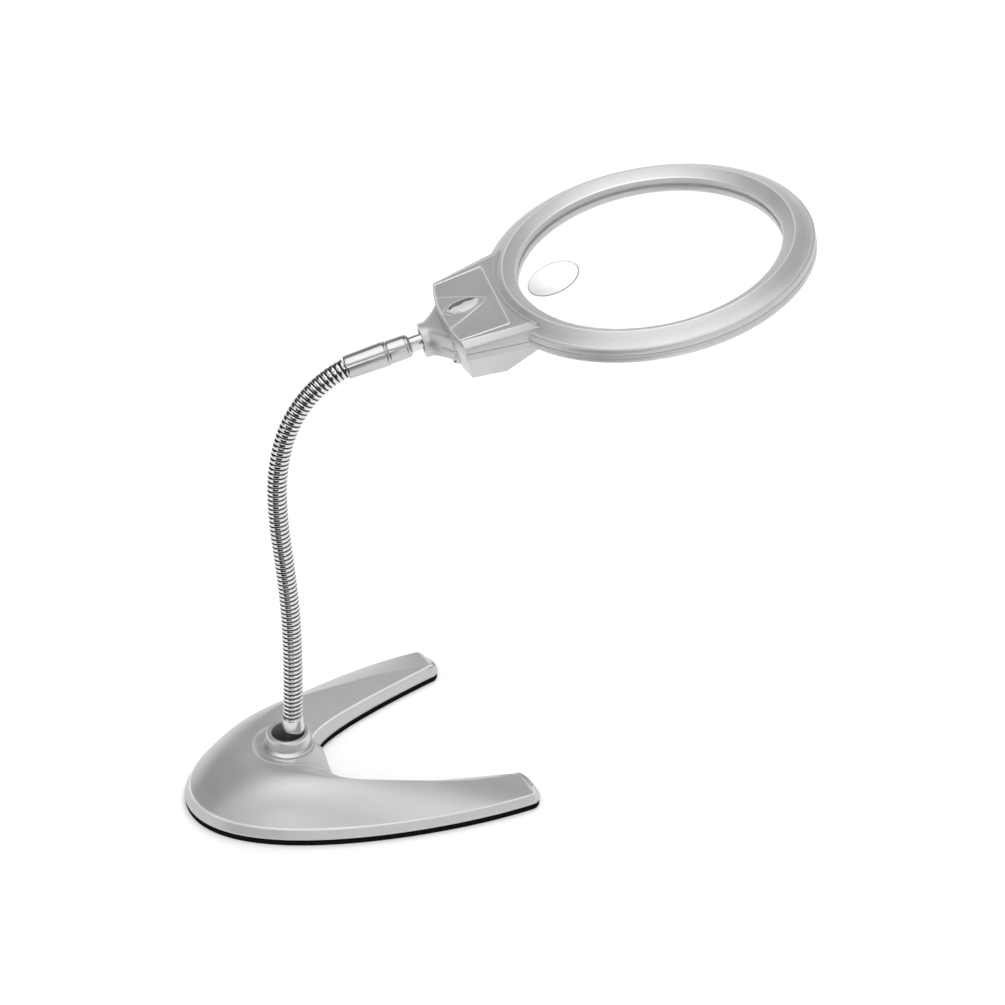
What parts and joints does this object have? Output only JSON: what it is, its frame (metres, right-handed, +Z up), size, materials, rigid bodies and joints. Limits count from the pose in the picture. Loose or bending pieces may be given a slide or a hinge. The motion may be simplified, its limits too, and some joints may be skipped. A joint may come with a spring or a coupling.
{
  "type": "low vision magnifier",
  "caption": "Hands-free low vision magnifier: round lens with a high-power spot in a battery-lit frame, on a bending gooseneck with a weighted U-shaped base.",
  "frame": {"origin": "on the floor, under the centre of the collar ring that the gooseneck stands in", "axes": "+Z up; +X from the gooseneck towards the lens, in the plane of the gooseneck's bend; +Y to the left. The base's own centre line is turned 12 degrees to the left of +X"},
  "size_m": [0.3085, 0.1676, 0.2937],
  "materials": {
    "silver_plastic": "satin",
    "chrome": "polished",
    "badge_chrome": "polished",
    "black_rubber": "matte",
    "cast_iron": "rough",
    "zinc_steel": "satin",
    "clear_lens": "polished",
    "white_nylon": "matte",
    "black_plastic": "matte",
    "green_board": "gloss",
    "led_resin": "polished",
    "cell_jacket": "gloss",
    "nickel_contact": "satin",
    "red_wire": "gloss",
    "black_wire": "gloss"
  },
  "bodies": {
    "base": {"base_cover": "silver_plastic", "base_collar": "silver_plastic", "base_weight": "cast_iron", "base_plate": "zinc_steel", "rubber_pad": "black_rubber", "base_screws": "zinc_steel", "stud_washer": "zinc_steel", "stud_nut": "zinc_steel", "lower_ferrule": "chrome", "gooseneck_stub": "chrome"},
    "neck_link_1": {"gooseneck_link_1": "chrome"},
    "neck_link_2": {"gooseneck_link_2": "chrome"},
    "neck_link_3": {"gooseneck_link_3": "chrome"},
    "neck_link_4": {"gooseneck_link_4": "chrome"},
    "neck_link_5": {"gooseneck_link_5": "chrome"},
    "neck_link_6": {"gooseneck_link_6": "chrome"},
    "neck_link_7": {"gooseneck_link_7": "chrome"},
    "neck_end": {"gooseneck_end": "chrome", "upper_ferrule": "chrome", "swivel_pin": "chrome", "pin_clip": "zinc_steel"},
    "head": {"neck_bush": "white_nylon", "head_top_shell": "silver_plastic", "head_bottom_shell": "silver_plastic", "lens": "clear_lens", "badge": "badge_chrome", "switch_body": "black_plastic", "led_board": "green_board", "led_left": "led_resin", "led_right": "led_resin", "led_windows": "led_resin", "battery_1": "cell_jacket", "battery_2": "cell_jacket", "battery_springs": "nickel_contact", "battery_contacts": "nickel_contact", "wire_red": "red_wire", "wire_black": "black_wire", "head_screws": "zinc_steel"},
    "door": {"battery_door": "silver_plastic"},
    "slider": {"switch_slider": "black_plastic"}
  },
  "joints": [
    {"name": "gooseneck_bend_1", "type": "hinge", "parent": "base", "child": "neck_link_1", "pos_m": [0.00349, 0, 0.05519], "axis": [0, 1, 0], "range_deg": [-12, 12]},
    {"name": "gooseneck_side_2", "type": "hinge", "parent": "neck_link_1", "child": "neck_link_2", "pos_m": [0.00431, 0, 0.08098], "axis": [0.9999, 0, -0.0113], "range_deg": [-12, 12]},
    {"name": "gooseneck_bend_3", "type": "hinge", "parent": "neck_link_2", "child": "neck_link_3", "pos_m": [0.00408, 0, 0.10678], "axis": [0, 1, 0], "range_deg": [-12, 12]},
    {"name": "gooseneck_side_4", "type": "hinge", "parent": "neck_link_3", "child": "neck_link_4", "pos_m": [0.00219, 0, 0.13251], "axis": [0.9968, 0, 0.0802], "range_deg": [-12, 12]},
    {"name": "gooseneck_bend_5", "type": "hinge", "parent": "neck_link_4", "child": "neck_link_5", "pos_m": [-0.00006, 0, 0.15821], "axis": [0, 1, 0], "range_deg": [-18, 12]},
    {"name": "gooseneck_side_6", "type": "hinge", "parent": "neck_link_5", "child": "neck_link_6", "pos_m": [0.00048, 0, 0.184], "axis": [0.9903, 0, -0.1392], "range_deg": [-12, 12]},
    {"name": "gooseneck_bend_7", "type": "hinge", "parent": "neck_link_6", "child": "neck_link_7", "pos_m": [0.00707, 0, 0.20895], "axis": [0, 1, 0], "range_deg": [-18, 12]},
    {"name": "gooseneck_side_8", "type": "hinge", "parent": "neck_link_7", "child": "neck_end", "pos_m": [0.02296, 0, 0.22928], "axis": [0.6157, 0, -0.788], "range_deg": [-12, 12]},
    {"name": "head_swivel", "type": "hinge", "parent": "neck_end", "child": "head", "pos_m": [0.07084, 0, 0.24393], "axis": [0.9677, 0, 0.2521], "range_deg": [-60, 60]},
    {"name": "battery_door_hinge", "type": "hinge", "parent": "head", "child": "door", "pos_m": [0.10365, 0.0004, 0.24302], "axis": [0.011, -0.999, -0.0422], "range_deg": [0, 100]},
    {"name": "switch_slide", "type": "slide", "parent": "head", "child": "slider", "axis": [0.9673, 0.1566, 0.1993], "range_m": [0, 0.003]}
  ],
  "couplings": [
    {"joint": "gooseneck_bend_3", "follows": "gooseneck_bend_1", "ratio": 1},
    {"joint": "gooseneck_bend_7", "follows": "gooseneck_bend_5", "ratio": 1},
    {"joint": "gooseneck_side_4", "follows": "gooseneck_side_2", "ratio": 1},
    {"joint": "gooseneck_side_6", "follows": "gooseneck_side_2", "ratio": 1},
    {"joint": "gooseneck_side_8", "follows": "gooseneck_side_2", "ratio": 1}
  ]
}
